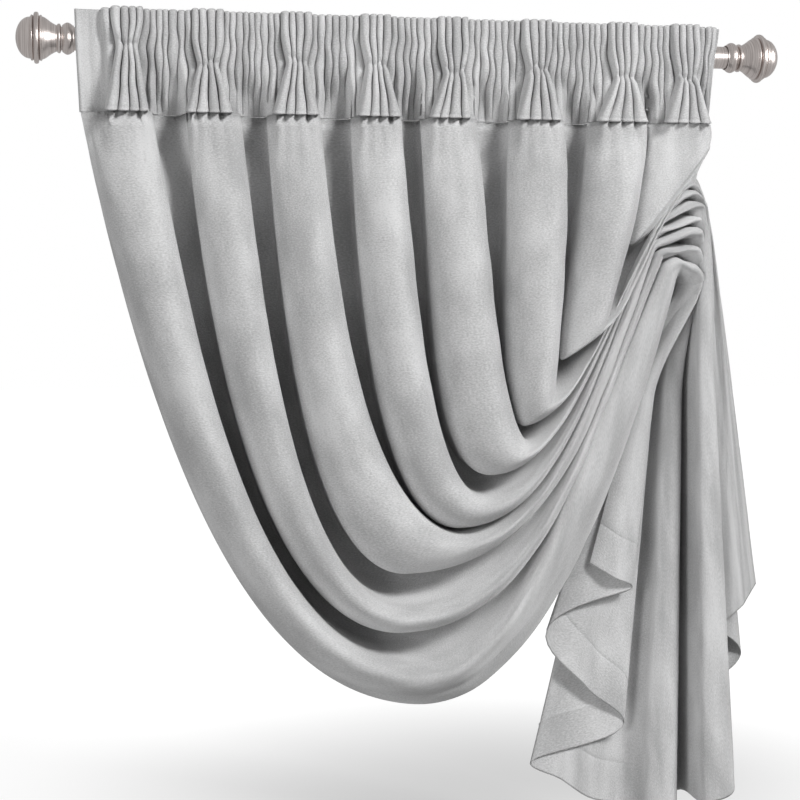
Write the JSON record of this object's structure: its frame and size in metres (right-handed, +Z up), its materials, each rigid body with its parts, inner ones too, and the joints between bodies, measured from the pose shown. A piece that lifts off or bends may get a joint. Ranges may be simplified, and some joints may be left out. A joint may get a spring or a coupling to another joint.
{
  "type": "curtain on a rod",
  "caption": "Light grey velvet curtain on a metal rod with knob finials: pinch-pleated heading, nested swags swept sideways to a gather, and a pleated tail.",
  "frame": {"origin": "middle of the rod, on its axis", "axes": "+X along the rod to the right as the room sees it, +Y towards the wall, +Z up"},
  "size_m": [0.8756, 0.1005, 0.9162],
  "materials": {
    "velvet": "short-pile velvet",
    "metal": "brushed nickel"
  },
  "bodies": {
    "root": {"rod": "metal", "finial_left": "metal", "finial_right": "metal", "curtain_heading": "velvet", "curtain_panel": "velvet"}
  },
  "joints": []
}
